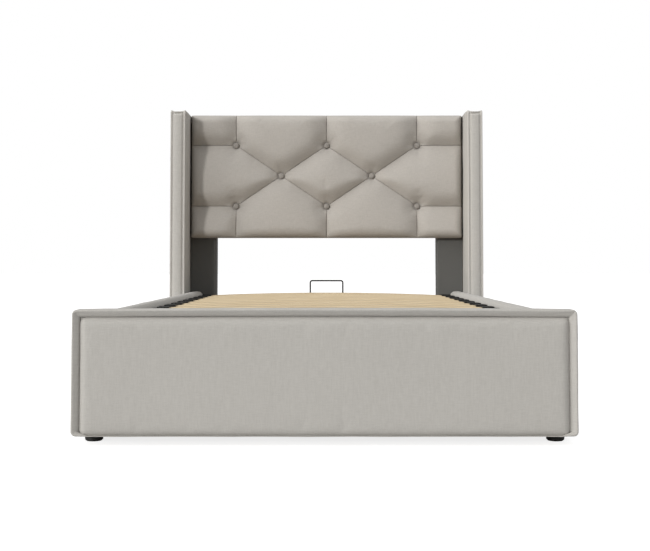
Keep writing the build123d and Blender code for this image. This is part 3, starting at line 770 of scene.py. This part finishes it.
def crease_pleats(bm, lines):
    """Split the cells that a pleat crosses, then mark the pleats as creases."""
    on_line = {}
    for vert in bm.verts:
        for index, line in enumerate(lines):
            if line_gap(vert.co.x, vert.co.z, line) < 0.05 * MM:
                on_line.setdefault(vert, set()).add(index)
    for face in list(bm.faces):
        a, b, c, d = face.verts
        for start, end in ((a, c), (b, d)):
            if on_line.get(start, set()) & on_line.get(end, set()):
                bmesh.ops.connect_verts(bm, verts=[start, end])
                break
    crease = bm.edges.layers.float.new("crease_edge")
    for edge in bm.edges:
        if on_line.get(edge.verts[0], set()) & on_line.get(edge.verts[1], set()):
            edge[crease] = 1.0


def cut_slits(piece, lines, seam):
    """Open each pleat to a thin deep slit, where the cloth tucks in."""
    bm = bmesh.new()
    bm.from_mesh(piece.data)
    gap = {vert: nearest_gap(vert.co, lines) for vert in bm.verts}
    slits = [edge for edge in bm.edges
             if edge.verts[0].co.y < seam and max(gap[vert] for vert in edge.verts) < 0.08 * MM]
    bevel(bm, slits, PLEAT_SLIT, 2)
    for vert in bm.verts:
        if vert.co.y < seam + MM and nearest_gap(vert.co, lines) < 0.2 * MM:
            vert.co.y += SLIT_DEPTH
    bm.to_mesh(piece.data)
    bm.free()


def tufted_panel():
    """The tufted pad: plump cells between crisp pleats, drawn down round each button."""
    low, high = low_high("headboard_tufted_pad")
    seam = low.y + SEAM_DEPTH
    lines, buttons = pleats(low, high)
    narrowed = 1 - PANEL_DRAW_IN / high.x
    bm = pad_grid(low, high, PLEAT_COLUMNS * PLEAT_CELLS, PLEAT_ROWS * PLEAT_CELLS)
    crease_pleats(bm, lines)
    held = []
    bm.verts.index_update()
    for vert in bm.verts:
        x, z, edge = rounded_in(vert.co.x, vert.co.z, low, high, PANEL_CORNER)
        lift, pleat, reach = puff_lift(x, z, lines, buttons, edge)
        if pleat < 0.1 * MM or reach < HELD_ROUND_BUTTON or edge < HELD_AT_EDGE:
            held.append(vert.index)
        z -= PANEL_DROP * max(0.0, 1 - (z - low.z) / PANEL_DROP_REACH)
        vert.co = Vector((x * narrowed, seam - PUFF_HEIGHT * lift, z))
    sides_back(bm, high.y)
    bm.verts.index_update()
    held += [vert.index for vert in bm.verts if vert.co.y > high.y - MM]
    piece = finish_piece("tufted_panel", bm, "tufted_upholstery", ["headboard_tufted_pad"])
    settle_cloth(piece, held, pressure=0.8, cap=3 * MM, spare=0.0015, frames=12)
    subdivided(piece)
    cut_slits(piece, [tuple((x * narrowed, z) for x, z in line) for line in lines], seam)
    close_back(piece)


def add_button(bm, x, y, z):
    """Add one covered button, facing the foot end."""
    profile = [bm.verts.new((BUTTON_RADIUS * share, 0, height * MM)) for share, height in BUTTON_PROFILE]
    edges = [bm.edges.new(pair) for pair in zip(profile, profile[1:])]
    before = set(bm.verts) - set(profile)
    bmesh.ops.spin(bm, geom=profile + edges, cent=(0, 0, 0), axis=(0, 0, 1), angle=math.tau, steps=28,
                   use_merge=True, use_duplicate=False)
    made = [vert for vert in bm.verts if vert not in before]
    bmesh.ops.rotate(bm, matrix=Matrix.Rotation(math.radians(90), 3, "X"), verts=made)
    bmesh.ops.translate(bm, vec=(x, y, z), verts=made)


def tuft_buttons():
    """All eight buttons in one piece."""
    low, high = low_high("headboard_tufted_pad")
    _, buttons = pleats(low, high)
    bm = bmesh.new()
    for x, z in buttons:
        add_button(bm, x, low.y + SEAM_DEPTH + BUTTON_SEAT, z)
    bmesh.ops.remove_doubles(bm, verts=bm.verts, dist=1e-5)
    bmesh.ops.holes_fill(bm, edges=[edge for edge in bm.edges if edge.is_boundary], sides=0)
    piece = finish_piece("covered_buttons", bm, "button_cloth", ["tuft_buttons"])


def top_wrap():
    """Linen over the closing board on top of the headboard, lapped forward over the panel's edge."""
    low, high = low_high("headboard_top_rail")
    front, board = low_high("headboard_panel_board")
    top, under = board.z + WRAP_THICKNESS, board.z - WRAP_LAP
    lap = front.y - WRAP_THICKNESS
    section = [(lap, under), (lap, top), (high.y, top), (high.y, low.z), (low.y, low.z), (low.y, under)]
    bm = bmesh.new()
    end = bm.faces.new([bm.verts.new((low.x, y, z)) for y, z in section])
    moved = bmesh.ops.extrude_face_region(bm, geom=[end])["geom"]
    moved = [item for item in moved if isinstance(item, bmesh.types.BMVert)]
    bmesh.ops.translate(bm, vec=(high.x - low.x, 0, 0), verts=moved)
    bevel(bm, edges_where(bm, lambda co: co.z > top - MM and co.y > high.y - MM), WRAP_ROLL, 4)
    slice_along(bm, 0, low.x, high.x, WRAP_CUT)
    finish_piece("headboard_top_wrap", bm, "linen_upholstery", ["headboard_top_rail"])


# Wings


def wing(side):
    """One wing: a soft slab whose front strip bulges between its welts, under a folded cap."""
    name = "wing_cover_" + side
    low, high = low_high(name)
    bm = box_mesh(low, high)
    rolls = edges_where(bm, lambda co: co.z > high.z - MM) + edges_where(bm, lambda co: co.y < low.y + MM)
    rolls = [edge for edge in dict.fromkeys(rolls) if max(vert.co.z for vert in edge.verts) > low.z + MM]
    bevel(bm, rolls, WING_ROLL, 4)
    slice_along(bm, 2, low.z, high.z - WING_CAP_ZONE, WING_CUT)
    slice_along(bm, 2, high.z - WING_CAP_ZONE, high.z - WING_ROLL, WING_CAP_CUT)
    slice_along(bm, 1, low.y + WING_ROLL, high.y, WING_CUT)
    start, end, strip = WING_GROOVE_ZONE
    slice_along(bm, 0, low.x + strip, high.x - strip, WING_STRIP_CUT)
    slice_along(bm, 0, low.x + start, low.x + end, WING_GROOVE_CUT)
    slice_along(bm, 0, high.x - end, high.x - start, WING_GROOVE_CUT)
    crown_front_strip(bm, low, high)
    swell_inner_face(bm, low, high)
    soften(bm, *WING_WAVES[side])
    piece = finish_piece("padded_wing_" + side, bm, "linen_upholstery", [name])


def crown_front_strip(bm, low, high):
    """Bulge the front strip between two grooves, with a fold under the cap and a sag on top."""
    middle = (low.x + high.x) / 2
    half = (high.x - low.x) / 2
    for vert in bm.verts:
        across = abs(vert.co.x - middle)
        bulge = max(0.0, 1 - (across / (half - WING_STRIP_EDGE)) ** 2)
        below = high.z - vert.co.z
        if vert.co.y < low.y + 3 * MM:
            fold = math.exp(-((below - WING_CAP) / WING_FOLD_WIDTH) ** 2)
            groove = math.exp(-((half - WING_GROOVE_PLACE - across) / WING_GROOVE_WIDTH) ** 2)
            share = WING_CAP_SHARE if below < WING_CAP else 1.0
            vert.co.y -= WING_CROWN * share * bulge ** 0.7
            vert.co.y += WING_FOLD_DEPTH * fold * bulge + WING_GROOVE_DEPTH * groove
        if below < 3 * MM:
            vert.co.z -= WING_TOP_SAG * bulge


def swell_inner_face(bm, low, high):
    """Swell the inner face above the rail, as far back as the panel."""
    board, _ = low_high("headboard_panel_board")
    _, rail = low_high("side_rail_cover_left")
    start, end = low.y + WING_ROLL, board.y - PANEL_CLEARANCE
    inner = min(abs(low.x), abs(high.x))
    for vert in bm.verts:
        along = (vert.co.y - start) / (end - start)
        if abs(vert.co.x) < inner + 2 * MM and 0 < along < 1:
            swell = math.sin(math.pi * along ** 0.6) ** 0.6
            above_rail = (vert.co.z - rail.z - RAIL_CLEARANCE) / WING_SWELL_FADE
            swell *= min(max(above_rail, 0.0), 1.0)
            vert.co.x -= math.copysign(WING_INNER_SWELL * swell, vert.co.x)


# Studio


def light_path_strength(tree, seen, cast):
    """A strength that the camera sees as one value and that lights the bed with another."""
    path = node(tree, "ShaderNodeLightPath")
    share = maths(tree, "MULTIPLY", path.outputs["Is Camera Ray"], seen - cast)
    return maths(tree, "ADD", share, cast)


def pale_floor():
    """A plain white floor with faint contact shadows."""
    bm = bmesh.new()
    bmesh.ops.create_grid(bm, x_segments=1, y_segments=1, size=FLOOR_SIZE)
    mesh = bpy.data.meshes.new("floor")
    bm.to_mesh(mesh)
    bm.free()
    floor = bpy.data.objects.new("floor", mesh)
    bpy.context.collection.objects.link(floor)
    pale = bpy.data.materials.new("pale_floor")
    pale.use_nodes = True
    tree = pale.node_tree
    shader = tree.nodes["Principled BSDF"]
    shader.inputs["Base Color"].default_value = grey(FLOOR_TONE)
    shader.inputs["Roughness"].default_value = 0.9
    shader.inputs["Emission Color"].default_value = grey(1.0)
    tree.links.new(light_path_strength(tree, FLOOR_GLOW, 0.0), shader.inputs["Emission Strength"])
    spread_out(tree)
    mesh.materials.append(pale)


def white_surround():
    """A white backdrop that casts only a soft fill."""
    world = bpy.data.worlds.new("studio")
    bpy.context.scene.world = world
    world.use_nodes = True
    tree = world.node_tree
    back = tree.nodes["Background"]
    back.inputs["Color"].default_value = grey(1.0)
    tree.links.new(light_path_strength(tree, 1.0, SURROUND_FILL), back.inputs["Strength"])
    spread_out(tree)


def lamp(name, kind, energy, colour, **settings):
    """One studio light."""
    light = bpy.data.lights.new(name, kind)
    light.energy = energy
    light.color = colour
    for key, value in settings.items():
        setattr(light, key, value)
    holder = bpy.data.objects.new(name, light)
    bpy.context.collection.objects.link(holder)
    return holder


def sunlight(name, energy, side, height, spread):
    """A light from the left front, by its angles in degrees."""
    sun = lamp(name, "SUN", energy, SUN_COLOUR, angle=math.radians(spread))
    side, height = math.radians(side), math.radians(height)
    level = math.cos(height)
    towards = Vector((math.sin(side) * level, math.cos(side) * level, -math.sin(height)))
    sun.rotation_euler = towards.to_track_quat("-Z", "Y").to_euler()


def studio():
    """A white surround, a low soft key from the left front, a broad side light and a soft box overhead."""
    pale_floor()
    white_surround()
    sunlight("key", *KEY_LIGHT)
    sunlight("side", *SIDE_LIGHT)
    overhead = lamp("overhead", "AREA", OVERHEAD_POWER, (1.0, 1.0, 1.0), shape="SQUARE", size=OVERHEAD_SIZE)
    overhead.location = (0, 0, OVERHEAD_HEIGHT)


def camera():
    """The photograph's low view from the foot end."""
    lens = bpy.data.cameras.new("camera")
    lens.sensor_width = SENSOR
    lens.lens = FOCAL_PIXELS * SENSOR / IMAGE_WIDTH
    lens.shift_x = (IMAGE_WIDTH / 2 - VANISHING_COLUMN) / IMAGE_WIDTH
    centre_row = HORIZON_ROW - FOCAL_PIXELS * math.tan(CAMERA_PITCH)
    lens.shift_y = (centre_row - IMAGE_HEIGHT / 2) / IMAGE_WIDTH
    lens.clip_end = 100
    eye = bpy.data.objects.new("camera", lens)
    bpy.context.collection.objects.link(eye)
    low, _ = low_high("footboard_cover")
    eye.location = (CAMERA_SIDE, low.y - CAMERA_DISTANCE, CAMERA_HEIGHT)
    eye.rotation_euler = (math.radians(90) + CAMERA_PITCH, 0, 0)
    bpy.context.scene.camera = eye
    view = bpy.context.scene.view_settings
    view.view_transform = "Standard"
    view.look = "None"


camera()
studio()
make_finishes()
dress_nodes()
footboard_pad()
footboard_border()
for hand in ("left", "right"):
    side_rail(hand)
    wing(hand)
tufted_panel()
tuft_buttons()
top_wrap()
